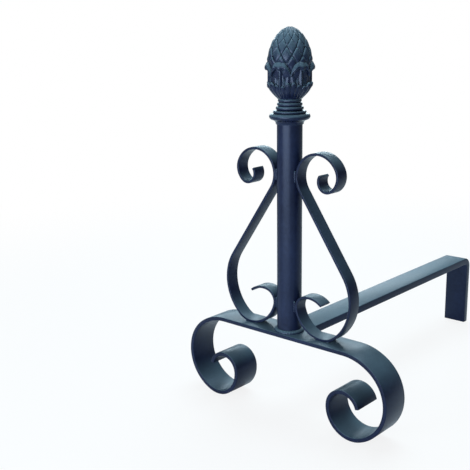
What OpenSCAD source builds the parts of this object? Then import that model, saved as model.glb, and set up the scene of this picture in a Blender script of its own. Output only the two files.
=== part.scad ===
// Andiron: a scrolled foot bar, a log bar that runs back to one rear leg, and a round post
// flanked by two side scrolls and topped with a cast artichoke finial.
// +Z is up, X runs along the foot bar, and the log bar runs back towards +Y.
// The origin is on the floor, midway between the front and the back of the andiron.

/* [Post] */
// Outside diameter of the post tube
post_d = 30; // [24:0.5:34]
// Wall of the post tube
post_wall = 2.5; // [1.5:0.25:4]
// Length of the post tube
post_length = 257; // [200:1:320]

/* [Foot bar] */
// Width of the foot bar, front to back
foot_bar_w = 40; // [36:1:50]
// Thickness of the foot bar
foot_bar_t = 5; // [4:0.5:8]
// Flat length from the middle of the foot bar to its first bend
foot_flat = 92; // [80:1:120]
// Radius of each bend of a foot, from the flat inwards to the tip
foot_radii = [63, 51, 33, 21]; // [15:0.5:80]
// Angle of each bend of a foot
foot_angles = [36, 125, 115, 160]; // [20:1:180]

/* [Log bar] */
// Width of the log bar, side to side
log_bar_w = 35; // [25:1:45]
// Thickness of the log bar
log_bar_t = 10; // [8:0.5:14]
// Length of the log bar, from the back of the foot bar to the back of the rear leg
log_bar_reach = 430; // [300:5:560]
// Inside radius of the bend down into the rear leg
log_bend_r = 6; // [3:0.5:12]

/* [Side scrolls] */
// Width of a side scroll, front to back
scroll_w = 18; // [12:0.5:24]
// Thickness of a side scroll
scroll_t = 3; // [2:0.5:5]
// Radius of each bend of the lower loop, from its seat on the foot bar out and up to the leg
loop_radii = [28, 58]; // [20:0.5:80]
// Angle of each bend of the lower loop
loop_angles = [40, 84]; // [30:1:95]
// Radius of each bend of the upper curl, from the leg inwards to the tip
curl_radii = [29, 19.5, 11.5]; // [8:0.5:40]
// Angle of each bend of the upper curl
curl_angles = [188, 80, 162]; // [60:1:200]
// Radius of each bend of the tail, from the seat up beside the post to its free end
tail_radii = [39, 15, 28.5]; // [10:0.5:50]
// Angle of each bend of the tail
tail_angles = [75, 90, 55]; // [30:1:100]

/* [Collar] */
// Reach of the collar's bead beyond the post
collar_reach = 9; // [7:0.5:12]
// Height of the collar
collar_h = 12.6; // [11:0.2:18]
// Thickness of the collar's bead
bead_t = 7.2; // [5:0.2:8]
// Depth to which the collar's skirt covers the post
collar_skirt = 4; // [2:0.5:5]
// Thickness of the skirt at its lower edge
skirt_t = 1; // [0.6:0.1:1.6]
// Play between the collar's skirt and the post
skirt_play = 0.2; // [0.1:0.05:0.5]

/* [Finial] */
// Diameter of the finial's foot disc
disc_d = 39; // [34:0.5:44]
// Thickness of the finial's foot disc
disc_t = 3.4; // [2.4:0.2:5]
// Diameter of the finial's neck
neck_d = 25.6; // [22:0.2:30]
// Height of the finial's foot and neck, up to the leaf cup
neck_h = 17; // [14:0.5:22]
// Thickness of each ring around the neck
ring_t = 4.4; // [2:0.2:4.6]
// Number of rings around the neck
ring_count = 3; // [2:1:3]
// Reach of the rings beyond the neck
ring_reach = 1.1; // [0.6:0.1:2]
// Diameter of the leaf cup below its tips
cup_d = 50.6; // [46:0.2:58]
// Height of the leaf cup up to the tops of its leaves
cup_h = 42; // [40:0.5:44]
// Height of the cup's rounded underside
cup_round = 16; // [12:0.5:18]
// Number of leaves around the cup
leaf_count = 6; // [5:1:8]
// Turn of the finial on its stud
finial_turn = 10; // [-30:1:30]
// Height of the curled leaf tips above the bottom of the cup
leaf_curl_h = 31.5; // [28:0.5:33]
// Outward reach of the curled leaf tips beyond the cup
leaf_curl = 3.7; // [1.5:0.1:5]
// Depth of the notch between two leaves
leaf_notch = 15.5; // [10:0.5:16]
// Height of the lower tier of leaves
low_leaf_h = 19; // [14:0.5:19]
// Distance by which the lower tier of leaves stands proud
leaf_relief = 1.3; // [0.6:0.1:2]
// Diameter of the bud at its widest
bud_d = 50.4; // [46:0.2:54]
// Height of the bud above its widest place
bud_h = 43.2; // [36:0.2:50]
// Number of scales around the bud
scale_count = 12; // [8:1:14]
// Turn of the scales against the leaves
scale_turn = 4; // [-15:1:15]
// Depth of the grooves between the scales
scale_depth = 2.2; // [0.8:0.1:2.8]

/* [Fasteners and welds] */
// Diameter of the stud that holds the collar and the finial
stud_d = 10; // [8:0.5:12]
// Depth to which the stud enters the finial
stud_grip = 13; // [9:0.5:13]
// Thickness of the tapped plug in the mouth of the post
plug_t = 8; // [6:0.5:12]
// Depth of the plug below the top of the post
plug_depth = 2; // [1:0.5:4]
// Play around the stud and around the plug
fit_play = 0.1; // [0.05:0.05:0.3]
// Leg of the weld around the foot of the post
post_weld = 4; // [3:0.5:4.5]
// Radius of the weld beads on the scrolls
bead_r = 2.2; // [1.8:0.1:2.6]
// Length of the weld beads between a scroll and the post
bead_l = 14; // [10:1:18]
// Radius of the weld beads at the front end of the log bar
bar_weld_r = 3.5; // [2:0.25:4.5]

/* [Hidden] */
$fn = 96;
paint = "#33424f";
weld_paint = "#2b3844";
steel = "#8d9399";

lap = 0.05;     // each step of a bent strip runs this far into the next one
slack = 0.01;   // every second step is this much thinner, so the steps meet in clean edges
past = 1;       // a cutting shape runs this far past the face it opens
root = 2;       // the finial's neck runs this far up into its head
post_r = post_d / 2;
foot_back = foot_bar_w / 2;

// A strip is bent in a plane by a list of steps. A step [0, length] is straight, and a step
// [radius, angle] is a bend: a positive angle turns left and a negative one turns right.
// A place along the strip's middle line is [x, z, heading].
function bends(radii, angles, turn) = [for (i = [0:len(radii) - 1]) [radii[i], turn * angles[i]]];
function left_of(heading) = [-sin(heading), cos(heading)];
function bend_centre(step, at) = [at.x, at.y] + sign(step[1]) * step[0] * left_of(at[2]);
function after(step, at) =
    step[0] == 0
    ? [at.x + step[1] * cos(at[2]), at.y + step[1] * sin(at[2]), at[2]]
    : let (end = bend_centre(step, at) - sign(step[1]) * step[0] * left_of(at[2] + step[1]))
      [end.x, end.y, at[2] + step[1]];
function place(steps, i, at) = i == 0 ? at : after(steps[i - 1], place(steps, i - 1, at));

// The point of a right-hand curl's outer face at which the strip has a given heading
function outer_points(steps, at, heading, t) =
    [for (i = [0:len(steps) - 1])
        let (start = place(steps, i, at), end = after(steps[i], start))
        if (steps[i][1] < 0 && start[2] >= heading && end[2] < heading)
            bend_centre(steps[i], start) + (steps[i][0] + t / 2) * left_of(heading)];

// The foot: its outer face touches the floor where the strip runs straight back inwards.
foot_steps = concat([[0, foot_flat]], bends(foot_radii, foot_angles, -1));
foot_drop = outer_points(foot_steps, [0, 0, 0], -180, foot_bar_t)[0].y;
foot_bar_z = -foot_drop;                  // middle line of the flat
foot_top = foot_bar_z + foot_bar_t / 2;   // upper face of the flat
foot_under = foot_bar_z - foot_bar_t / 2; // underside of the flat

// The side scroll: its tail and its upper curl both touch the post.
tail_steps = bends(tail_radii, tail_angles, -1);
loop_steps = bends(loop_radii, loop_angles, 1);
curl_steps = bends(curl_radii, curl_angles, -1);
seat_z = foot_top + scroll_t / 2;
tail_touch = outer_points(tail_steps, [0, seat_z, 180], 90, scroll_t)[0];
seat_x = post_r - tail_touch.x;
loop_end = place(loop_steps, len(loop_steps), [seat_x, seat_z, 0]);
curl_reach = outer_points(curl_steps, [0, 0, loop_end[2]], 90, scroll_t)[0];
leg_length = (post_r - loop_end.x - curl_reach.x) / cos(loop_end[2]);
tail_end = place(tail_steps, len(tail_steps), [seat_x, seat_z, 180]);
tail_back = [for (i = [len(tail_steps) - 1:-1:0]) [tail_steps[i][0], -tail_steps[i][1]]];
scroll_start = [tail_end.x, tail_end.y, tail_end[2] + 180];
scroll_steps = concat(tail_back, loop_steps, [[0, leg_length]], curl_steps);
curl_touch_z = after([0, leg_length], loop_end).y + curl_reach.y;
tail_touch_z = tail_touch.y;
weld_leg = min(post_weld, foot_back - post_r);   // the weld stays on the foot bar
seat_bead_x = 8;   // distance of a seat's weld beads from the line of contact
wedge_fn = 240;    // smoothness of the arcs on both sides of a thin wedge

// The stack on top of the post
post_top = foot_top + post_length;
collar_r = post_r + collar_reach;
collar_z = post_top - collar_skirt;
finial_z = collar_z + collar_h;
cup_z = finial_z + neck_h;
plug_top = post_top - plug_depth;
stud_bottom = plug_top - plug_t;
stud_top = finial_z + stud_grip;
stud_hole_r = stud_d / 2 + fit_play;

// The finial's head is one surface laid over rows of points. Every second row is turned by half
// a step, so the edges between the rows follow the slanting grooves between the scales.
scale_steps = 6;                          // steps along one side of a scale
columns = scale_count * scale_steps;      // points in a row
// Rows of points from one line on the cup to the next: up the lower leaves, over their tops, up
// to the curled tips, round these, and on to the top edge
cup_steps = [7, 1, 4, 2, 5];
cup_rows = 19;                            // all of those rows together
bud_z = cup_z + 37.4;                     // widest place of the bud
bud_dip = 12;                             // the bud's surface starts this many degrees lower
bud_rows = 43;                            // rows up the bud
bud_row = (90 + bud_dip) / bud_rows;      // degrees of the bud's outline from row to row
bud_point = 1.15;                         // above 1 the outline comes to a point
crevice = 2;                              // depth of the crevice between the leaves and the bud
leaf_edge = 0.8;                          // thickness of a leaf where it lies on the bud
squeeze = 0.3;                            // distance between rows of points inside the crevice
// The lowest ring stands out furthest, the top one carries the cup, and the others lie between.
ring_r = [for (i = [0:ring_count - 1]) neck_d / 2 + ring_reach
    * (i == 0 ? 1.7 : i == ring_count - 1 ? 1.5 : 1)];
cup_base_r = neck_d / 2 + 0.8;

// Place across a leaf, from -1 at one side to 1 at the other: the upper leaves have their middles
// in front, and the lower ones lie half a leaf to the side
function row_angle(row, n) = scale_turn + (n + row % 2 / 2) * 360 / columns;
function across(angle, shift) =
    let (turns = angle / 360 * leaf_count + shift) 2 * (turns - floor(turns)) - 1;
function rim_height(angle) = cup_h - leaf_notch * pow(abs(across(angle, 0.5)), 3);
function low_leaf_top(angle) = low_leaf_h * (1 - 0.4 * pow(across(angle, 0), 2));
function curl_height(angle) =
    min(leaf_curl_h + 4 * pow(across(angle, 0.5), 2), rim_height(angle) - 1.5);
function cup_lines(angle) =
    let (low = low_leaf_top(angle), curl = curl_height(angle))
    [0, low, low + 1, curl - 2.4, curl, rim_height(angle)];

// The part of the cup that a row lies in, and how far up that part
function row_part(row, part = 0) =
    row <= cup_steps[part] ? [part, row / cup_steps[part]]
    : row_part(row - cup_steps[part], part + 1);
function cup_outline(h) =
    cup_base_r + (cup_d / 2 - cup_base_r) * sin(90 * min(1, h / cup_round));
function curl_r(angle) = cup_outline(curl_height(angle))
    + leaf_curl * (1 - pow(across(angle, 0.5), 2));
function rim_r(angle) = bud_r(cup_z + rim_height(angle)) + leaf_edge;
function cup_point(row, angle) =
    let (at = row_part(row), lines = cup_lines(angle),
         h = lines[at[0]] + at[1] * (lines[at[0] + 1] - lines[at[0]]),
         side = pow(across(angle, 0.5), 4), low_side = pow(across(angle, 0), 2))
    [at[0] == 0 ? cup_outline(h) + leaf_relief * min(1, h / 3) * (1 - 0.6 * low_side)
         + 1.2 * pow(at[1], 5) * (1 - low_side)
     : at[0] == 4 ? curl_r(angle) + (rim_r(angle) - curl_r(angle)) * pow(at[1], 0.7)
     : at[0] == 3 ? curl_r(angle)
     : cup_outline(h) - 0.9 * side,
     cup_z + h];
function bud_angle(row) = row * bud_row - bud_dip;
function bud_outline(a) = bud_d / 2 * pow(cos(a), bud_point);
function bud_r(z) = bud_outline(asin((z - bud_z) / bud_h));

// Depth of a scale's face at a point: 0 in the grooves, 1 in the middle of the scale
function fold(x) = abs(2 * (x - floor(x)) - 1);
function scale_form(angle, row) =
    let (across_scales = (angle - scale_turn) / 360 * scale_count,
         up_scales = row / scale_steps / 2)
    1 - pow(max(fold(across_scales + up_scales), fold(across_scales - up_scales)), 2);

function bud_point_at(row, angle) =
    let (a = bud_angle(row), fade = min(1, (90 - a) / 15),
         high = bud_z + bud_h * sin(a),
         least = cup_z + rim_height(angle) - crevice + squeeze * (row + 1),
         form = high > least ? scale_form(angle, row) : 0)
    [bud_r(max(high, least)) + scale_depth * fade * (form - 0.5), max(high, least)];
function head_point(row, angle) =
    row <= cup_rows ? cup_point(row, angle)
    : row == cup_rows + 1 ? [rim_r(angle) - leaf_edge, cup_z + rim_height(angle) - 0.6]
    : row == cup_rows + 2
    ? [rim_r(angle) - leaf_edge - scale_depth / 2, cup_z + rim_height(angle) - crevice]
    : bud_point_at(row - cup_rows - 3, angle);

// The leaf tips reach a little further forward than the foot bar.
tip_reach = max([for (row = [0:cup_rows], n = [0:columns - 1])
    let (angle = row_angle(row, n))
    head_point(row, angle).x * cos(angle + finial_turn)]);
post_y = (max(tip_reach, foot_back) - foot_back - log_bar_reach) / 2;

module in_frame() {
    translate([0, post_y, 0]) children();
}

module ring_part(r, t, sweep) {
    edge = [for (a = [0:sweep / 4:sweep]) 2 * r * [cos(a), sin(a)]];
    intersection() {
        difference() {
            circle(r = r + t / 2);
            circle(r = r - t / 2);
        }
        polygon(concat([[0, 0]], edge));
    }
}

// Side view of one step of a strip, run on past its end by the length extra
module step_outline(step, extra, t) {
    sweep = abs(step[1]) + extra / max(step[0], 1) * 180 / PI;
    if (step[0] == 0)
        translate([0, -t / 2]) square([step[1] + extra, t]);
    else
        translate([0, sign(step[1]) * step[0]])
            rotate(step[1] > 0 ? -90 : 90 - sweep) ring_part(step[0], t, sweep);
}

module strip_outline(steps, at, t) {
    for (i = [0:len(steps) - 1]) {
        start = place(steps, i, at);
        extra = i < len(steps) - 1 ? lap : 0;
        translate([start.x, start.y]) rotate(start[2])
            step_outline(steps[i], extra, t - slack * (i % 2));
    }
}

// Gives a side view in the X-Z plane the width w, half on each side of that plane
module widen(w) {
    translate([0, w / 2, 0]) rotate([90, 0, 0]) linear_extrude(height = w) children();
}

module foot_bar() {
    in_frame() color(paint)
        widen(foot_bar_w)
            for (side = [0, 1])
                mirror([side, 0]) strip_outline(foot_steps, [0, foot_bar_z, 0], foot_bar_t);
}

// The log bar lies flush with the foot bar's upper face and ends in the rear leg.
module log_bar() {
    outer_r = log_bend_r + log_bar_t;
    straight = log_bar_reach - outer_r;
    in_frame() color(paint)
        translate([0, foot_back, foot_top - log_bar_t / 2]) rotate([0, 0, 90])
            widen(log_bar_w) strip_outline(
                [[0, straight], [outer_r - log_bar_t / 2, -90], [0, foot_top - outer_r]],
                [0, 0, 0], log_bar_t);
}

module post_tube() {
    in_frame() color(paint)
        translate([0, 0, foot_top]) difference() {
            cylinder(r = post_r, h = post_length);
            translate([0, 0, -1]) cylinder(r = post_r - post_wall, h = post_length + 2);
        }
}

// A round plug, tapped for the stud and welded inside the mouth of the post
module post_plug() {
    in_frame() color(steel)
        translate([0, 0, stud_bottom]) difference() {
            cylinder(r = post_r - post_wall - fit_play, h = plug_t);
            translate([0, 0, -1]) cylinder(r = stud_hole_r, h = plug_t + 2);
        }
}

module finial_stud() {
    in_frame() color(steel)
        translate([0, 0, stud_bottom]) cylinder(d = stud_d, h = stud_top - stud_bottom);
}

// The collar's skirt covers the top of the post and flares out to a thick bead.
module finial_collar() {
    bead_edge = bead_t / 2;
    bead_x = collar_r - bead_edge;
    skirt_r = post_r + skirt_play;
    cove_r = collar_h - bead_t;
    in_frame() color(paint)
        translate([0, 0, collar_z]) difference() {
            rotate_extrude() difference() {
                union() {
                    square([bead_x, collar_h]);
                    translate([bead_x, collar_h - bead_edge]) circle(r = bead_edge);
                }
                translate([skirt_r + skirt_t + cove_r, 0]) circle(r = cove_r);
                translate([skirt_r + skirt_t + cove_r, 0]) square([collar_r, cove_r]);
            }
            translate([0, 0, -past]) cylinder(r = skirt_r, h = collar_skirt + past);
            cylinder(r = stud_hole_r, h = collar_h + past);
        }
}

module ring_section(r, t) {
    square([r - t / 2, t]);
    translate([r - t / 2, t / 2]) circle(r = t / 2);
}

// Foot disc and neck of the finial, with a blind hole for the stud
module finial_neck() {
    rings_z = neck_h - ring_count * ring_t;
    difference() {
        rotate_extrude() {
            ring_section(disc_d / 2, disc_t);
            square([neck_d / 2, neck_h + root]);
            for (i = [0:ring_count - 1])
                translate([0, rings_z + i * ring_t]) ring_section(ring_r[i], ring_t);
        }
        translate([0, 0, -past]) cylinder(r = stud_hole_r, h = stud_grip + past + fit_play);
    }
}

// Leaf cup and scaly bud of the finial
module finial_head() {
    rows = cup_rows + 3 + bud_rows;
    ring_points = [for (row = [0:rows - 1], n = [0:columns - 1])
        let (angle = row_angle(row, n), p = head_point(row, angle))
        [p.x * sin(angle), -p.x * cos(angle), p.y]];
    points = concat(ring_points, [[0, 0, bud_z + bud_h]]);
    side_faces = [for (row = [0:rows - 2], n = [0:columns - 1])
        let (next = (n + 1) % columns, low = row * columns, high = low + columns)
        each row % 2 == 0
            ? [[low + n, high + n, low + next], [low + next, high + n, high + next]]
            : [[low + n, high + n, high + next], [low + n, high + next, low + next]]];
    last = (rows - 1) * columns;
    tip_faces = [for (n = [0:columns - 1]) [last + n, rows * columns, last + (n + 1) % columns]];
    under = [for (n = [0:columns - 1]) n];
    polyhedron(points, concat(side_faces, tip_faces, [under]));
}

module finial() {
    in_frame() color(paint) {
        translate([0, 0, finial_z]) finial_neck();
        rotate([0, 0, finial_turn]) finial_head();
    }
}

module left_side_scroll() {
    mirror([1, 0, 0]) side_scroll();
}

module right_side_scroll() {
    side_scroll();
}

module side_scroll() {
    in_frame() color(paint) scroll_body();
}

module scroll_body() {
    widen(scroll_w) strip_outline(scroll_steps, scroll_start, scroll_t);
}

// A weld around the foot of the post
module post_foot_weld() {
    in_frame() color(weld_paint)
        translate([0, 0, foot_top]) rotate_extrude() intersection() {
            translate([post_r, 0]) circle(r = weld_leg);
            translate([post_r, 0]) square(weld_leg);
        }
}

// Upright beads at the two edges of a scroll, where it touches the post at height z
module post_beads(z) {
    bead_x = post_r - 0.8;
    bead_y = scroll_w / 2 - 0.6;
    difference() {
        for (edge = [-1, 1])
            translate([bead_x, edge * bead_y, z - bead_l / 2]) cylinder(r = bead_r, h = bead_l);
        translate([0, 0, z - bead_l]) cylinder(r = post_r, h = 2 * bead_l);
        scroll_body();
    }
}

module upper_scroll_welds() {
    in_frame() color(weld_paint)
        for (side = [0, 1])
            mirror([side, 0, 0]) post_beads(curl_touch_z);
}

module lower_scroll_welds() {
    in_frame() color(weld_paint)
        for (side = [0, 1])
            mirror([side, 0, 0]) post_beads(tail_touch_z);
}

// Section of a bead in the wedge between the foot bar and a bend of radius r that rises from it
module seat_bead(r) {
    intersection() {
        difference() {
            translate([seat_bead_x, 0]) circle(r = bead_r, $fn = wedge_fn);
            translate([0, scroll_t / 2 + r]) circle(r = r + scroll_t / 2, $fn = wedge_fn);
        }
        square([2 * seat_bead_x, bead_r]);
    }
}

// Beads across the foot bar, on both sides of each scroll's seat
module scroll_seat_welds() {
    in_frame() color(weld_paint)
        for (side = [0, 1])
            mirror([side, 0, 0])
                translate([seat_x, 0, foot_top]) widen(scroll_w) {
                    seat_bead(loop_radii[0]);
                    mirror([1, 0]) seat_bead(tail_radii[0]);
                }
}

// A bead under the foot bar along the end of the log bar, and one up each side of the log bar
module log_bar_welds() {
    in_frame() color(weld_paint) {
        intersection() {
            translate([-log_bar_w / 2, foot_back, foot_under])
                rotate([0, 90, 0]) cylinder(r = bar_weld_r, h = log_bar_w);
            translate([-log_bar_w, foot_back - 2 * bar_weld_r, foot_under - 2 * bar_weld_r])
                cube([2 * log_bar_w, 2 * bar_weld_r, 2 * bar_weld_r]);
        }
        for (side = [0, 1])
            mirror([side, 0, 0]) intersection() {
                translate([log_bar_w / 2, foot_back, foot_under])
                    cylinder(r = bar_weld_r, h = foot_bar_t);
                translate([log_bar_w / 2, foot_back, foot_under])
                    cube([2 * bar_weld_r, 2 * bar_weld_r, foot_bar_t]);
            }
    }
}

foot_bar();
log_bar();
post_tube();
post_plug();
finial_stud();
finial_collar();
finial();
left_side_scroll();
right_side_scroll();
post_foot_weld();
upper_scroll_welds();
lower_scroll_welds();
scroll_seat_welds();
log_bar_welds();
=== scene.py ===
# %% [markdown]
# # An andiron with scrolled feet and an artichoke finial
# An andiron holds burning logs off the hearth. This one is bent and welded from flat bar,
# strip and tube, topped with a casting, and painted satin black. The notebook builds its
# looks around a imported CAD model, which says where every piece is, in metres.

# %% Load the CAD model
from math import cos, exp, pi, radians, sin

import bpy
from mathutils import Matrix, Vector


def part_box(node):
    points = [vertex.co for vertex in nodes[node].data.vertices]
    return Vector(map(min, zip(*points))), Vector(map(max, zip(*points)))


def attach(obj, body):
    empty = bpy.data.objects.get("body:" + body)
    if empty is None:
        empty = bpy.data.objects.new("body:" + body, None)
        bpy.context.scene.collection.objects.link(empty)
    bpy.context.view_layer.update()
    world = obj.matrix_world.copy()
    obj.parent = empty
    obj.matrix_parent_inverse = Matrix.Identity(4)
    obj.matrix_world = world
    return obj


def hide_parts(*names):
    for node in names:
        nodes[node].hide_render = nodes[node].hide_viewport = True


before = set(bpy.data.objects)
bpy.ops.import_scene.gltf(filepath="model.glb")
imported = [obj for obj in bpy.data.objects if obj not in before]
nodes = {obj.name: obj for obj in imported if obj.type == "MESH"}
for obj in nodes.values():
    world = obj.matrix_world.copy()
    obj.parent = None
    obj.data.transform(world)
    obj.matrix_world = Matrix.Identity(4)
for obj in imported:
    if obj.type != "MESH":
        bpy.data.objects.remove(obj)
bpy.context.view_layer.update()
MM = 0.001
SEAM = 0.01 * MM                      # points closer than this are one point
print("CAD nodes:", ", ".join(sorted(nodes)))

# %% [markdown]
# The post stands upright over the middle of the foot bar, so its axis is the line that most
# other pieces are placed by. It is read from the CAD node, and nothing here moves that node.

# %% Read the places that other pieces are built from
post_low, post_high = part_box("post_tube")
AXIS = Vector(((post_low.x + post_high.x) / 2, (post_low.y + post_high.y) / 2, 0))
POST_R = (post_high.x - post_low.x) / 2
FOOT_TOP = post_low.z
print(f"post axis at y = {AXIS.y / MM:.2f} mm, foot bar top at z = {FOOT_TOP / MM:.2f} mm")

# %% [markdown]
# ## The camera
# The photograph was taken from the front and a little above, off to the right-hand side.
# The place and the angles were found by fitting the bars' straight edges and ends.

# %% Place the camera
SENSOR = 36
PICTURE = 470                     # width and height of the photograph, in pixels
FOCAL = 846.68                    # focal length, in pixels
camera_data = bpy.data.cameras.new("camera")
camera_data.sensor_width = SENSOR
camera_data.lens = FOCAL / PICTURE * SENSOR
camera = bpy.data.objects.new("camera", camera_data)
bpy.context.scene.collection.objects.link(camera)
yaw, pitch, roll = radians(41.607), radians(-13.782), radians(-0.798)
turn = (Matrix.Rotation(yaw, 4, "Z") @ Matrix.Rotation(pi / 2 + pitch, 4, "X")
        @ Matrix.Rotation(roll, 4, "Z"))
place = AXIS + Vector((606.22, -781.15, 471.33)) * MM
camera.matrix_world = Matrix.Translation(place) @ turn
bpy.context.scene.camera = camera
print(f"lens {camera_data.lens:.1f} mm")

# %% [markdown]
# ## Modelling helpers
# Operators work on whatever is selected, so each piece starts with everything deselected.
# `finish` closes a piece: normals outwards, smooth shading with crisp corners, its material, the
# node that it stands for, and the body that it moves with.

# %% Helpers to start and finish a piece
def start_clean():
    if bpy.context.mode != "OBJECT":
        bpy.ops.object.mode_set(mode="OBJECT")
    bpy.ops.object.select_all(action="DESELECT")


def activate(obj):
    start_clean()
    obj.select_set(True)
    bpy.context.view_layer.objects.active = obj


def edit(obj):
    activate(obj)
    bpy.ops.object.mode_set(mode="EDIT")
    bpy.ops.mesh.select_mode(type="VERT")
    bpy.ops.mesh.select_all(action="SELECT")


def apply_modifier(obj, kind, **settings):
    activate(obj)
    modifier = obj.modifiers.new(kind.lower(), kind)
    for key, value in settings.items():
        setattr(modifier, key, value)
    bpy.ops.object.modifier_apply(modifier=modifier.name)


def face_outwards(obj, merged=False):
    """Closes seams and turns faces outwards. Closing seams in a merged skin would open it."""
    edit(obj)
    if not merged:
        bpy.ops.mesh.remove_doubles(threshold=SEAM)
    bpy.ops.mesh.normals_make_consistent(inside=False)
    bpy.ops.object.mode_set(mode="OBJECT")


def finish(obj, name, material, replaced, crease=35, merged=False):
    activate(obj)
    bpy.ops.object.transform_apply(location=True, rotation=True, scale=True)
    face_outwards(obj, merged)
    bpy.ops.object.shade_smooth_by_angle(angle=radians(crease))
    obj.name = obj.data.name = name
    obj.data.materials.clear()
    obj.data.materials.append(material)
    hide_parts(replaced)
    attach(obj, "root")
    print(f"{name}: {sum(len(face.vertices) - 2 for face in obj.data.polygons)} triangles")


# %% [markdown]
# ## Shader arithmetic
# Materials mix a few masks. Written as nodes by hand that gets long, so a small class wraps a
# socket, and adding, multiplying or subtracting adds the Math node for it.

# %% A class for shader expressions
class Value:
    def __init__(self, tree, socket):
        self.tree, self.socket = tree, socket

    def node(self, kind, settings=None, output=0, **inputs):
        """Adds a node, sets its settings, then its inputs by name, and wraps one output."""
        new = self.tree.nodes.new(kind)
        for key, value in (settings or {}).items():
            setattr(new, key, value)
        for key, value in inputs.items():
            target = new.inputs[int(key[1:])] if key[0] == "i" and key[1:].isdigit() \
                else new.inputs[key.replace("_", " ")]
            if isinstance(value, Value):
                self.tree.links.new(value.socket, target)
            else:
                target.default_value = value
        return Value(self.tree, new.outputs[output])

    def math(self, operation, *others):
        inputs = {f"i{k}": v for k, v in enumerate((self, *others))}
        return self.node("ShaderNodeMath", {"operation": operation}, **inputs)

    def __add__(self, other):
        return self.math("ADD", other)

    def __sub__(self, other):
        return self.math("SUBTRACT", other)

    def __rsub__(self, other):
        return (self * -1).math("ADD", other)

    def __mul__(self, other):
        return self.math("MULTIPLY", other)

    def clamp(self, low, high):
        """The value spread from low..high onto 0..1."""
        return self.node("ShaderNodeMapRange", {"interpolation_type": "SMOOTHSTEP"},
                         Value=self, From_Min=low, From_Max=high)


def noise(space, scale, detail, roughness):
    return space.node("ShaderNodeTexNoise", Vector=space, Scale=scale, Detail=detail,
                      Roughness=roughness)


def mix(factor, first, second):
    """A colour between two colours."""
    return factor.node("ShaderNodeMix", {"data_type": "RGBA"}, 2, i0=factor, i6=first, i7=second)


# %% [markdown]
# ## Satin black paint
# In daylight this paint isn't neutral: it is a very dark slate blue. Faces that look up get a
# lighter, greener painted light in patches, for the light from above, and there it is a little
# rougher. Brush marks change its gloss more than its colour. Where it lies over a casting or a
# weld it is rougher, its hollows get painted shade and its sharp edges a painted highlight.

# %% Paint over bar, casting and weld
NIGHT = (0.004, 0.006, 0.019, 1)      # the paint in its darkest patches
SLATE = (0.009, 0.015, 0.042, 1)      # the paint as a whole
PAINTED_SHADE = (0.002, 0.003, 0.006, 1)       # painted shade in hollows
TOP_LIGHT = (0.110, 0.182, 0.224, 1)       # painted light on faces that look up


def paint(name, grain, grain_height, pits, gloss, lit_from, relief_shading):
    """grain: how many lumps to a metre; gloss: middle of the roughness; lit_from: how steeply up
    a face must look before it gets painted light from above; relief_shading: how much painted
    shade hollows get and how much painted highlight sharp edges get."""
    material = bpy.data.materials.new(name)
    material.use_nodes = True
    tree = material.node_tree
    shader = tree.nodes["Principled BSDF"]
    start = Value(tree, None)
    space = start.node("ShaderNodeTexCoord", output=3)
    facing = start.node("ShaderNodeSeparateXYZ", {}, 2,
                        Vector=start.node("ShaderNodeNewGeometry", output=1))
    broad = noise(space, 14, 4.0, 0.6)
    fine = noise(space, grain, 3.0, 0.55)
    specks = noise(space, 1400, 2.0, 0.6)
    tone = mix((broad * 0.7 + fine * 0.3).clamp(0.30, 0.72), NIGHT, SLATE)
    shape = start.node("ShaderNodeNewGeometry", output=7)
    # Pointiness below 0.5 marks hollows for painted shade; above it, sharp edges get a small
    # painted highlight, added into the painted light below.
    hollow, edge = shape.clamp(0.499, 0.46) * relief_shading, shape.clamp(0.505, 0.57) * relief_shading
    # Painted light from above: faces that look up are lightened in patches, plus the small painted
    # highlight on edges; hollows get none.
    painted_light = facing.clamp(lit_from, lit_from + 0.8) * (1 - hollow) \
        * ((broad * 0.6 + specks * 0.4).clamp(0.2, 0.8) * 0.5 + 0.4) + edge * 0.08
    # Painted shade: hollows are darkened towards a near-black.
    tone = mix(hollow, tone, PAINTED_SHADE)
    colour = mix(painted_light, tone, TOP_LIGHT)
    rough = (fine - 0.5) * 0.16 + (broad - 0.5) * 0.22 + painted_light * 0.12 + gloss
    height = fine * grain_height + specks * 0.02 + (specks.clamp(0.66, 0.74) * -pits)
    bump = start.node("ShaderNodeBump", Height=height, Distance=0.4 * MM, Strength=0.55)
    for target, value in (("Base Color", colour), ("Roughness", rough), ("Normal", bump)):
        tree.links.new(value.socket, shader.inputs[target])
    shader.inputs["Specular IOR Level"].default_value = 0.26
    shader.inputs["Specular Tint"].default_value = (0.64, 0.76, 1.0, 1)
    return material


def steel(name):
    """Bare turned steel: rings of fine tool marks, and a dull film of oil in patches."""
    material = bpy.data.materials.new(name)
    material.use_nodes = True
    tree = material.node_tree
    shader = tree.nodes["Principled BSDF"]
    space = Value(tree, None).node("ShaderNodeTexCoord", output=3)
    rings = space.node("ShaderNodeTexWave", {"bands_direction": "Z"}, 1, Vector=space,
                       Scale=420.0, Distortion=0.4, Detail=1.0)
    oil = noise(space, 90, 3.0, 0.6).clamp(0.42, 0.66)
    bump = rings.node("ShaderNodeBump", Height=rings, Distance=0.1 * MM, Strength=0.3)
    for target, value in (("Base Color", mix(oil, (0.42, 0.41, 0.39, 1), (0.16, 0.14, 0.12, 1))),
                          ("Roughness", oil * 0.25 + rings * 0.06 + 0.28), ("Normal", bump)):
        tree.links.new(value.socket, shader.inputs[target])
    shader.inputs["Metallic"].default_value = 1
    return material


bar_paint = paint("satin_paint_on_bar", 260, 0.08, 0.05, 0.34, 0.25, 0)
cast_paint = paint("satin_paint_on_casting", 420, 0.16, 0.12, 0.26, -0.10, 1)
weld_paint = paint("satin_paint_on_weld", 700, 0.22, 0.16, 0.30, 0.10, 0.6)
plain_steel = steel("plain_steel")

# %% [markdown]
# ## Bending flat bar
# Each bar starts as its own cross-section: a plane at the bar's size, with its corners
# rounded as rolled bar has them. The face is deleted and its outline is extruded along the
# straight parts and spun around the bends, just as the real bar runs through a bender.

# %% A bar section and the bends
BEND_STEP = 4                         # degrees from one ring of points to the next


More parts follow.
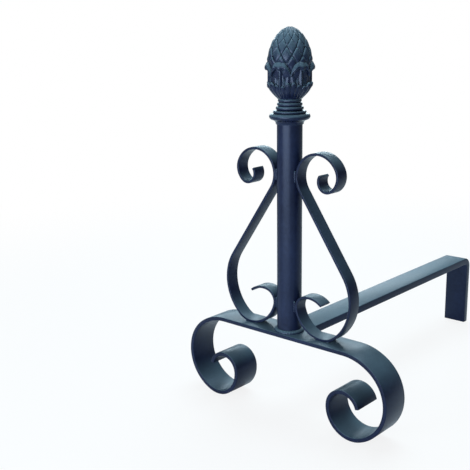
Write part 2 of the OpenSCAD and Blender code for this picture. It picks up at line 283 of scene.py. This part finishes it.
def bar_section(width, thickness, corner, x, z, heading):
    start_clean()
    bpy.ops.mesh.primitive_plane_add(size=1, rotation=(0, pi / 2 - radians(heading), 0))
    bar = bpy.context.object
    bar.scale = (thickness, width, 1)
    bar.location = AXIS + Vector((x, 0, z))
    bpy.ops.object.transform_apply(location=True, rotation=True, scale=True)
    edit(bar)
    bpy.ops.mesh.bevel(offset=corner, segments=3, affect="VERTICES")
    bpy.ops.mesh.delete(type="ONLY_FACE")
    bpy.ops.mesh.select_mode(type="EDGE")
    bpy.ops.mesh.select_all(action="SELECT")
    return bar


def run(steps, x, z, heading):
    """Takes the selected outline through (0, length) runs and (radius, angle) bends."""
    for radius, amount in steps:
        ahead = Vector((cos(radians(heading)), 0, sin(radians(heading))))
        if radius == 0:
            bpy.ops.mesh.extrude_region_move(TRANSFORM_OT_translate={"value": ahead * amount})
            x, z = x + ahead.x * amount, z + ahead.z * amount
            continue
        side = radius if amount > 0 else -radius
        centre = Vector((x - ahead.z * side, 0, z + ahead.x * side))
        bpy.ops.mesh.spin(steps=max(2, round(abs(amount) / BEND_STEP)), angle=radians(amount),
                          center=AXIS + centre, axis=(0, 1, 0))
        heading += amount
        x = centre.x + sin(radians(heading)) * side
        z = centre.z - cos(radians(heading)) * side


def bends(radii, angles, way):
    return [(r * MM, way * a) for r, a in zip(radii, angles)]


def close_bar(bar, edge):
    """Caps the sheared ends and takes the sharpness off them."""
    bpy.ops.object.mode_set(mode="OBJECT")
    edit(bar)
    bpy.ops.mesh.remove_doubles(threshold=SEAM)
    bpy.ops.mesh.fill_holes(sides=0)
    bpy.ops.mesh.normals_make_consistent(inside=False)
    apply_modifier(bar, "BEVEL", width=edge, segments=2, limit_method="ANGLE",
                   angle_limit=radians(50))


def mirror_copy(obj):
    activate(obj)
    bpy.ops.object.duplicate()
    copy = bpy.context.object
    copy.scale.x = -1
    bpy.ops.object.transform_apply(location=False, rotation=False, scale=True)
    return copy


# %% [markdown]
# ## The foot bar
# One bar makes both feet. Its flat middle curves down at each end through ever tighter bends
# and ends in an open coil. Half of it is bent here, and a mirror adds the other half.

# %% Bend the foot bar
FOOT_W, FOOT_T = 40 * MM, 5 * MM
FOOT_FLAT = 92 * MM
FOOT_BENDS = bends([63, 51, 33, 21], [36, 125, 115, 160], -1)
foot_z = FOOT_TOP - FOOT_T / 2

foot = bar_section(FOOT_W, FOOT_T, 0.7 * MM, 0, foot_z, 0)
run([(0, FOOT_FLAT)] + FOOT_BENDS, 0, foot_z, 0)
bpy.ops.object.mode_set(mode="OBJECT")
apply_modifier(foot, "MIRROR", use_axis=(True, False, False), use_clip=True,
               merge_threshold=SEAM)
close_bar(foot, 0.5 * MM)
finish(foot, "foot_bar_bent", bar_paint, "foot_bar")

# %% [markdown]
# ## The log bar
# The log bar is the thick one. It is welded to the back edge of the foot bar, flush with its
# top, and its far end is bent down square to make the rear leg.

# %% Bend the log bar
LOG_W, LOG_T = 35 * MM, 10 * MM
LOG_BEND = 11 * MM                    # radius along the middle of the bar
log_low, log_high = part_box("log_bar")
log_mid = log_high.z - LOG_T / 2
log_run = log_high.y - log_low.y - LOG_T / 2 - LOG_BEND

log_bar = bar_section(LOG_W, LOG_T, 1.0 * MM, 0, log_mid, 0)
run([(0, log_run), (LOG_BEND, -90), (0, log_mid - LOG_BEND)], 0, log_mid, 0)
close_bar(log_bar, 0.6 * MM)
log_bar.data.transform(Matrix.Translation(-AXIS))
log_bar.data.transform(Matrix.Translation((0, log_low.y, 0)) @ Matrix.Rotation(pi / 2, 4, "Z"))
finish(log_bar, "log_bar_bent", bar_paint, "log_bar")

# %% [markdown]
# ## The side scrolls
# A side scroll is thin strip. From the free end of its tail it bends up beside the post, under
# itself along the foot bar, out and up in a wide loop, then straight in to the post, and
# finally back over in a tightening curl.

# %% Bend the side scrolls
SCROLL_W, SCROLL_T = 18 * MM, 3 * MM
TAIL = bends([28.5, 15, 39], [55, 90, 75], 1)
LOOP = bends([28, 58], [40, 84], 1)
CURL = bends([29, 19.5, 11.5], [188, 80, 162], -1)


def path_end(steps, x, z, heading):
    """Where a chain of bends ends, without drawing it."""
    for radius, amount in steps:
        side = radius if amount > 0 else -radius
        x -= sin(radians(heading)) * side
        z += cos(radians(heading)) * side
        heading += amount
        x += sin(radians(heading)) * side
        z -= cos(radians(heading)) * side
    return x, z, heading


def post_touch(steps, heading):
    """How far left of its start a curl's outer face reaches: where the strip runs straight up."""
    x, z = 0, 0
    for radius, amount in steps:
        if amount < 0 and heading >= 90 > heading + amount:
            return x + sin(radians(heading)) * radius - radius - SCROLL_T / 2
        x, z, heading = path_end([(radius, amount)], x, z, heading)


seat_z = FOOT_TOP + SCROLL_T / 2
seat_x = POST_R - post_touch([(r, -a) for r, a in reversed(TAIL)], 180)
loop_end = path_end(LOOP, seat_x, seat_z, 0)
leg = (POST_R - loop_end[0] - post_touch(CURL, loop_end[2])) / cos(radians(loop_end[2]))
back = path_end([(r, -a) for r, a in reversed(TAIL)], seat_x, seat_z, 180)
tail_tip = (back[0], back[1], back[2] + 180)
print(f"scroll seat at x = {seat_x / MM:.2f} mm, straight leg {leg / MM:.2f} mm")

right_scroll = bar_section(SCROLL_W, SCROLL_T, 0.5 * MM, *tail_tip)
run(TAIL + LOOP + [(0, leg)] + CURL, *tail_tip)
close_bar(right_scroll, 0.35 * MM)
left_scroll = mirror_copy(right_scroll)
finish(right_scroll, "right_side_scroll_bent", bar_paint, "right_side_scroll")
finish(left_scroll, "left_side_scroll_bent", bar_paint, "left_side_scroll")

# %% [markdown]
# ## Turned shapes
# The collar and the finial's neck are round. On a lathe, a profile is cut while the work spins.
# Here the profile is traced by extruding one vertex from point to point, and then spun.

# %% A helper for turned shapes
def arc(r, z, radius, start, end, steps=10):
    """Points on an arc about (r, z). Angles are in degrees, 0 outwards and 90 upwards."""
    angles = [radians(start + (end - start) * k / steps) for k in range(steps + 1)]
    return [(r + radius * cos(a), z + radius * sin(a)) for a in angles]


def turned(points, bottom, steps=128):
    """Spins a profile of (r, z) points, with z measured from the height bottom."""
    start_clean()
    bpy.ops.mesh.primitive_plane_add(size=0.1 * MM)
    piece = bpy.context.object
    edit(piece)
    bpy.ops.mesh.merge(type="CENTER")
    places = [AXIS + Vector((r, 0, bottom + z)) for r, z in points]
    bpy.ops.transform.translate(value=places[0])
    for place, following in zip(places, places[1:]):
        bpy.ops.mesh.extrude_region_move(TRANSFORM_OT_translate={"value": following - place})
    bpy.ops.mesh.select_all(action="SELECT")
    bpy.ops.mesh.spin(steps=steps, angle=2 * pi, center=AXIS, axis=(0, 0, 1))
    bpy.ops.object.mode_set(mode="OBJECT")
    face_outwards(piece)
    return piece


# %% [markdown]
# ## The collar
# The collar sits over the mouth of the tube. A short skirt covers the join, a cove flares out
# from it, and a thick half-round bead carries the finial. The stud passes through its middle.

# %% Turn the collar
collar_low, collar_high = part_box("finial_collar")
COLLAR_H, RIM_R, SKIRT_R = collar_high.z - collar_low.z, 3.6 * MM, 15.2 * MM
COVE_R, STUD_HOLE = 5.4 * MM, 5.1 * MM
SKIRT_H = 4 * MM                      # how far the skirt comes down over the tube
rim_x = collar_high.x - RIM_R
cove_x = SKIRT_R + 1.0 * MM + COVE_R
collar = turned([(SKIRT_R, SKIRT_H), (SKIRT_R, 0.3 * MM), (SKIRT_R + 0.3 * MM, 0),
                 (SKIRT_R + 0.8 * MM, 0)]
                + arc(cove_x, 0, COVE_R, 176, 96)
                + arc(rim_x, COLLAR_H - RIM_R, RIM_R, -68, 90, 18)
                + [(STUD_HOLE, COLLAR_H), (STUD_HOLE, SKIRT_H), (SKIRT_R, SKIRT_H)],
                collar_low.z)
finish(collar, "finial_collar_turned", cast_paint, "finial_collar", 30)

# %% [markdown]
# ## The finial
# The finial is one iron casting: a foot disc, a ringed neck, a cup of leaves and a bud covered
# in scales. The pattern maker carves one scale and one leaf and repeats them around, so that is
# how it is made here. Flat blanks are pressed onto the bud and the cup, copied around the axis
# and merged with a turned core into one closed skin.

# %% The surfaces that the blanks are pressed onto
finial_low, finial_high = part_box("finial")
NECK_H = 17 * MM                      # from the collar up to the cup
CUP_Z = finial_low.z + NECK_H
CUP_BASE, CUP_R, CUP_ROUND = 13.6 * MM, 25.3 * MM, 16 * MM
BUD_R, BUD_Z = 25.3 * MM, CUP_Z + 37.4 * MM
BUD_POINT = 1.15                      # 1 would make the bud half an ellipse; more points it
BUD_H = finial_high.z - BUD_Z - 1.0 * MM
LEAVES, SCALES = 6, 12
LEAF_TURN, SCALE_TURN = 10, 14        # degrees from the front towards the right-hand foot


def around(angle, r, z):
    """The point at a distance r from the post's axis, angle degrees round from the front."""
    return AXIS + Vector((r * sin(radians(angle)), -r * cos(radians(angle)), z))


def cup_radius(h):
    return CUP_BASE + (CUP_R - CUP_BASE) * sin(pi / 2 * min(1, h / CUP_ROUND))


def on_bud(angle, rise, lift):
    """rise goes from 0 at the bud's widest place to 90 at its tip; lift stands off the surface."""
    rise = min(rise, 90)
    level, up = max(0, cos(radians(rise))), sin(radians(rise))
    slope = Vector((BUD_H * level, BUD_R * up)).normalized()
    fade = min(1, 0.35 + (90 - rise) / 40)
    return around(angle, BUD_R * level ** BUD_POINT + lift * fade * slope.x,
                  BUD_Z + BUD_H * up + lift * fade * slope.y)


# %% Helpers to press a flat blank and copy it around
def blank(columns, rows, turned_by=0, size=2):
    """A flat grid from -1 to 1 both ways. Turned by 45 degrees it is a lozenge."""
    start_clean()
    bpy.ops.mesh.primitive_grid_add(x_subdivisions=columns, y_subdivisions=rows, size=size,
                                    rotation=(0, 0, radians(turned_by)))
    bpy.ops.object.transform_apply(location=True, rotation=True, scale=True)
    return bpy.context.object


def press(piece, shape, thickness):
    for vertex in piece.data.vertices:
        vertex.co = shape(vertex.co.x, vertex.co.y)
    face_outwards(piece)
    apply_modifier(piece, "SOLIDIFY", thickness=thickness, offset=0, use_even_offset=False)
    return piece


def copies_around(piece, count):
    """Turns copies of a piece about the post's axis, each with its own mesh."""
    made = [piece]
    for k in range(1, count):
        activate(piece)
        bpy.ops.object.duplicate()
        turn = Matrix.Rotation(2 * pi * k / count, 4, "Z")
        bpy.context.object.data.transform(
            Matrix.Translation(AXIS) @ turn @ Matrix.Translation(-AXIS))
        made.append(bpy.context.object)
    return made


def join(pieces):
    start_clean()
    for piece in pieces:
        piece.select_set(True)
    bpy.context.view_layer.objects.active = pieces[0]
    bpy.ops.object.join()
    return pieces[0]


def merge_into(body, pieces):
    """Joins the pieces and merges them with the body into one closed skin."""
    added = join(pieces)
    apply_modifier(body, "BOOLEAN", operation="UNION", solver="MANIFOLD", object=added)
    bpy.data.objects.remove(added)


# %% [markdown]
# ### The scales
# A scale is a lozenge, a little domed, with its pointed upper end standing proud of the two
# scales above it and its lower end tucked in. Twelve go round in each row, and every second row
# is turned by half a scale, so the gaps between them run in slanting lines.

# %% Press and copy the scales
ROW_RISE = 14.23                      # degrees of the bud's outline from row to row
SHRINK = 0.83                         # leaves a groove between neighbours
ROWS, FIRST_RISE = 7, -12             # the lowest row is mostly behind the leaves
SCALE_T, LEAF_T = 2.2 * MM, 1.4 * MM


def scale_shape(angle, rise):
    def shape(u, v):
        edge = max(0, abs(u) + abs(v) - 0.7) / 0.3
        round_off = 1 - (1 - 0.96 * edge ** 2) ** 0.5
        place = rise + v * ROW_RISE * SHRINK
        tuck = 1.5 * min(1, max(0, 9 - place) / 8)      # under the leaves
        lift = -1.05 + 1.05 * (v + 1) / 2 + 0.4 * (1 - abs(u)) - 0.8 * round_off - tuck
        return on_bud(angle + u * 180 / SCALES * SHRINK, place, lift * MM)
    return shape


rows = []
for row in range(ROWS):
    rise = FIRST_RISE + row * ROW_RISE
    angle = SCALE_TURN + (row + 1) % 2 * 180 / SCALES
    scale = press(blank(16, 16, 45, 2 ** 0.5), scale_shape(angle, rise), SCALE_T)
    rows.append(copies_around(scale, SCALES))
print(sum(len(row) for row in rows), "scales")

# %% [markdown]
# ### The leaves
# Six upper leaves rise from the neck, and their ribbed tips fold out and down over the cup, with
# a deep notch between each two. Below every notch lies a lower leaf with four lobes, each with
# its own rib and a small curl at its end.

# %% Press and copy the leaves
def rolled(r, h, turn, radius):
    """A point on a roll that starts upright at (r, h) and bends outwards and down."""
    return r + radius * (1 - cos(turn)), h + radius * sin(turn)


def upper_leaf(u, v):
    side, along = abs(u), (v + 1) / 2
    top = (41.5 - 14.5 * side ** 3) * MM
    lobes = cos(2 * pi * u / 0.6) * (1 - side ** 2)
    tip = top - (6.6 - 5.4 * side ** 2 + 0.8 * lobes) * MM
    spread = 1 - 0.75 * side ** 2
    if along < 0.5:                   # the stem: a proud midrib, fanned ribs and deep eyes
        h = top * along / 0.5
        rib = cos(2 * pi * u / (0.2 + 0.3 * along / 0.5)) * (1 - side ** 3) * min(1, along * 5)
        eye = max(0, 1 - ((side - 0.42) / 0.16) ** 2 - ((h / MM - 24) / 5) ** 2)
        sunk = min(1, max(0, h / MM - 10) / 8) * (1 - exp(-(u / 0.15) ** 2))
        depth = 0.9 + 1.7 * sunk + 0.5 * side ** 4 - 0.5 * rib + 1.8 * eye
        return around(u * 29.5, cup_radius(h) - depth * MM, CUP_Z + h)
    out = min(1, (along - 0.5) / 0.36)
    rib = cos(2 * pi * u / (0.5 + 0.1 * out)) * (1 - side ** 2)
    reach = CUP_R + (-0.35 + 2.8 * spread * sin(0.62 * pi * out ** 1.2) + 0.6 * rib) * MM
    h = top + 0.3 * MM * sin(pi * min(1, out * 2.5)) + (tip - top) * out
    if along > 0.86:                  # the tip's edge rolls back under
        turn = (along - 0.86) / 0.14 * radians(200)
        roll = min(1.3 * MM, (top - tip) / 4) * spread
        reach, h = reach - roll * (1 - cos(turn)), h - roll * sin(turn)
    return around(u * 29.5, reach, CUP_Z + h)


def lower_leaf(u, v):
    along = (v + 1) / 2
    lobe, size = abs(sin(pi * u / 0.52)), 1 - 0.95 * u ** 2
    top = (10.0 + (3.5 + 4.5 * size) * lobe ** 0.6 + 0.8 * u - 2 * abs(u) ** 3) * MM
    h = top * min(1, along / 0.75)
    r = cup_radius(h) + (1.1 * (lobe - 0.6) - 0.2 - 1.5 * u ** 2) * MM * min(1, along * 3)
    if along > 0.75:                  # each lobe ends in a small curl
        r, h = rolled(r, h, (along - 0.75) / 0.25 * radians(215), (0.25 + 0.85 * lobe * size) * MM)
    return around(u * 30, r, CUP_Z + h)


leaves = []
for shape, turn, steps in ((upper_leaf, LEAF_TURN, 40), (lower_leaf, LEAF_TURN + 30, 28)):
    leaf = press(blank(52, steps), shape, LEAF_T)
    leaf.data.transform(Matrix.Translation(AXIS) @ Matrix.Rotation(radians(turn), 4, "Z")
                        @ Matrix.Translation(-AXIS))
    leaves.append(copies_around(leaf, LEAVES))
print(sum(len(tier) for tier in leaves), "leaves")

# %% [markdown]
# ### The core and the finished casting
# The core is turned: disc, three rings, the inside of the cup and a plain bud. The scales and the
# leaves are merged with it row by row, which keeps their edges and the grooves between them sharp,
# as they are on a casting that has only been blasted and painted.

# %% Turn the core and cast it all as one
CORE_IN, CORE_DOWN = 1.7 * MM, 0.6 * MM      # how far the plain bud lies under the scales
HOLE_DEPTH = 13.1 * MM                # the tapped hole for the stud
DISC_R, DISC_T, NECK_R = 19.5 * MM, 3.4 * MM, 12.8 * MM
RING_T, RING_BOW = 4.4 * MM, 2.45 * MM
profile = [(0, HOLE_DEPTH), (STUD_HOLE, HOLE_DEPTH), (STUD_HOLE, 0)]
profile += arc(DISC_R - DISC_T / 2, DISC_T / 2, DISC_T / 2, -90, 90)
profile += [(NECK_R, DISC_T)]
for k, reach in enumerate((16.3 * MM, 14.8 * MM, 13.9 * MM)):
    ring_z = NECK_H - (2.5 - k) * RING_T
    profile += arc(reach - RING_BOW, ring_z, RING_BOW, -60, 60)
profile += [(cup_radius(h * MM) - (1.0 + 0.3 * max(0, h - 14)) * MM, NECK_H + h * MM)
            for h in range(0, 27, 2)]
for rise in range(-12, 88, 4):
    level = cos(radians(rise))
    profile.append(((BUD_R - CORE_IN) * level ** BUD_POINT,
                    BUD_Z - finial_low.z + (BUD_H - CORE_DOWN) * sin(radians(rise))))
profile.append((0, BUD_Z - finial_low.z + BUD_H - CORE_DOWN))
core = turned(profile, finial_low.z)
for pieces in rows + leaves:
    merge_into(core, pieces)
finish(core, "finial_cast", cast_paint, "finial", 40, merged=True)

# %% [markdown]
# ## The post and the hidden fastening
# The post is a length of round tube, sawn square, with the burr taken off both ends. The stud
# and the tapped plug are inside it. Their CAD shapes are right, so they keep their nodes and only
# get a material, plain steel with fine turning marks.

# %% Cut the post
WALL, BURR = 2.5 * MM, 0.3 * MM
post_h = post_high.z - post_low.z
post = turned([(POST_R - WALL, BURR), (POST_R - WALL + BURR, 0), (POST_R - BURR, 0),
               (POST_R, BURR), (POST_R, post_h - BURR), (POST_R - BURR, post_h),
               (POST_R - WALL + BURR, post_h), (POST_R - WALL, post_h - BURR),
               (POST_R - WALL, BURR)], post_low.z)
finish(post, "post_tube_cut", bar_paint, "post_tube", 30)

# %% Plain steel on the stud and the plug
for name in ("post_plug", "finial_stud"):
    nodes[name].data.materials.clear()
    nodes[name].data.materials.append(plain_steel)

# %% [markdown]
# ## The welds
# A bead of weld is a row of drops that overlap, so it is rippled, and its ripples are bowed
# against the way it was laid. Each bead here is a flat blank wrapped round a line.

# %% A weld bead
def bead(path, radius, ripples, closed=False):
    """path(u), for u from -1 to 1, gives the middle of the bead and two ways across it."""
    piece = blank(6 * ripples, 14)
    for vertex in piece.data.vertices:
        u, across = vertex.co.x, pi * vertex.co.y
        middle, first, second = path(u)
        ripple = 0.025 * cos(ripples * pi * u + 1.4 * cos(across))
        swell = 0.94 + ripple * (1 + 0.5 * sin(3 * pi * u)) + 0.02 * sin(5 * pi * u + 1)
        end = 1 if closed else max(0, 1 - abs(u) ** 6) ** 0.5
        r = radius * swell * end
        vertex.co = middle + first * r * cos(across) + second * r * sin(across)
    face_outwards(piece)
    return piece


def straight(middle, half):
    """A straight line for a bead, half its length as a vector."""
    first = half.orthogonal().normalized()
    return lambda u: (middle + half * u, first, half.cross(first).normalized())


def copy_to(piece, moves):
    """The piece and a copy of it at each move."""
    made = [piece]
    for move in moves:
        activate(piece)
        bpy.ops.object.duplicate(linked=False)
        bpy.context.object.data.transform(Matrix.Translation(move))
        made.append(bpy.context.object)
    return made


# %% [markdown]
# The largest bead runs right round the foot of the post. Four short upright ones hold each side
# scroll, two at its curl and two at its tail, in the corners between strip and tube, almost
# flush with the strip's edges. Two more lie across the foot bar where the scroll touches it. The
# log bar is welded from below and up its sides, so that its joint stays clean on top.

# %% Lay the beads
def post_foot(u):
    out = around(180 * u, 1, 0) - AXIS
    return around(180 * u, POST_R, FOOT_TOP), out, Vector((0, 0, 1))


FOOT_BEAD_R = 4 * MM
ring = bead(post_foot, FOOT_BEAD_R, 34, closed=True)
finish(ring, "post_foot_bead", weld_paint, "post_foot_weld", 60)

BEAD_X, BEAD_Y = 13.7 * MM, 7.9 * MM  # the corner between strip and tube, from the post's axis
SCROLL_BEAD_R, SEAT_BEAD_R = 1.5 * MM, 2.2 * MM
for name in ("upper_scroll_welds", "lower_scroll_welds"):
    low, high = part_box(name)
    corner = Vector((-BEAD_X, AXIS.y - BEAD_Y, (low.z + high.z) / 2))
    upright = bead(straight(corner, Vector((0, 0, (high.z - low.z) / 2))), SCROLL_BEAD_R, 8)
    beads = copy_to(upright, [Vector((x, y, 0)) for x, y in
                              ((2 * BEAD_X, 0), (0, 2 * BEAD_Y), (2 * BEAD_X, 2 * BEAD_Y))])
    finish(join(beads), name.replace("welds", "beads"), weld_paint, name, 60)

SEAT_STEP = 8 * MM
corner = Vector((-seat_x - SEAT_STEP, AXIS.y, FOOT_TOP))
across = bead(straight(corner, Vector((0, SCROLL_W / 2, 0))), SEAT_BEAD_R, 10)
beads = copy_to(across, [Vector((x, 0, 0)) for x in
                         (2 * SEAT_STEP, 2 * seat_x, 2 * seat_x + 2 * SEAT_STEP)])
finish(join(beads), "scroll_seat_beads", weld_paint, "scroll_seat_welds", 60)

LOG_BEAD_R = 3.5 * MM
joint = Vector((0, log_low.y, FOOT_TOP - FOOT_T))
under = bead(straight(joint, Vector((LOG_W / 2 + 2 * MM, 0, 0))), LOG_BEAD_R, 18)
side = bead(straight(joint + Vector((-LOG_W / 2, 0, FOOT_T / 2 - 1 * MM)),
                     Vector((0, 0, FOOT_T / 2 + 1 * MM))), LOG_BEAD_R, 5)
merge_into(under, copy_to(side, [Vector((LOG_W, 0, 0))]))
finish(under, "log_bar_beads", weld_paint, "log_bar_welds", 60, merged=True)

# %% [markdown]
# ## Floor, light and background
# The object stands on a plain pale floor, which fades into a white background. The white is seen
# by the camera and a little in gloss, but it gives no light, so it can't wash the paint out. The
# light is a dim room, a wide window in front of the andiron, a smaller one behind it to the left,
# and a soft light above it. The window behind is set high, because a low one made the log bar's
# far end too pale.

# %% Floor and world
FLOOR_IN_GLOSS, ROOM_IN_GLOSS = 0.16, 0.06   # how much of the white shows in gloss


def seen(tree, share):
    """1 for a ray from the camera, and a share for one that gloss or glass has sent on."""
    outputs = tree.nodes.new("ShaderNodeLightPath").outputs
    sent_on = Value(tree, outputs["Is Glossy Ray"]) \
        .math("MAXIMUM", Value(tree, outputs["Is Transmission Ray"]))
    return Value(tree, outputs["Is Camera Ray"]).math("MAXIMUM", sent_on * share)


def white_where(tree, factor, plain, white, output):
    """Mixes a plain shader with the white background and links it to the output."""
    mixed = factor.node("ShaderNodeMixShader", {}, 0, i0=factor, i1=plain, i2=white)
    tree.links.new(mixed.socket, tree.nodes[output].inputs["Surface"])


start_clean()
bpy.ops.mesh.primitive_plane_add(size=60)
floor = bpy.context.object
floor.name = floor.data.name = "floor"
floor_material = bpy.data.materials.new("pale_floor")
floor_material.use_nodes = True
tree = floor_material.node_tree
pale = tree.nodes["Principled BSDF"]
pale.inputs["Base Color"].default_value = (0.78, 0.84, 0.87, 1)
pale.inputs["Roughness"].default_value = 0.8
white = Value(tree, None).node("ShaderNodeEmission", Strength=1.0)
away = Value(tree, None).node("ShaderNodeTexCoord", output=3)
away = away.node("ShaderNodeVectorMath", {"operation": "LENGTH"}, 1, i0=away)
white_share = seen(tree, FLOOR_IN_GLOSS) * (away.clamp(0.5, 1.4) * 0.15 + 0.85)
white_where(tree, white_share, Value(tree, pale.outputs[0]), white, "Material Output")
floor.data.materials.append(floor_material)

world = bpy.data.worlds.new("studio")
bpy.context.scene.world = world
world.use_nodes = True
tree = world.node_tree
room = tree.nodes["Background"]
room.inputs["Color"].default_value = (0.66, 0.84, 1.0, 1)
room.inputs["Strength"].default_value = 0.16
white = Value(tree, None).node("ShaderNodeBackground", Color=(1, 1, 1, 1), Strength=1.0)
white_where(tree, seen(tree, ROOM_IN_GLOSS), Value(tree, room.outputs[0]), white, "World Output")


# %% Lamps
def soft_light(name, place, target, size, power, tint):
    data = bpy.data.lights.new(name, "AREA")
    data.color = tint
    data.shape, data.size, data.energy = "RECTANGLE", size[0], power
    data.size_y = size[1]
    lamp = bpy.data.objects.new(name, data)
    bpy.context.scene.collection.objects.link(lamp)
    lamp.location = place
    lamp.rotation_euler = (Vector(target) - Vector(place)).to_track_quat("-Z", "Y").to_euler()


soft_light("overhead", (-0.2, 0.3, 1.8), (0, 0, 0.2), (1.2, 1.2), 25, (0.80, 0.95, 1.0))
soft_light("window", (0.2, -2.0, 0.45), (0, -0.2, 0.3), (2.0, 0.75), 47, (0.84, 0.92, 1.0))
soft_light("back window", (-1.5, 1.45, 0.95), (0, -0.1, 0.12), (1.6, 0.6), 18, (0.74, 0.92, 1.0))

bpy.context.scene.view_settings.view_transform = "Standard"
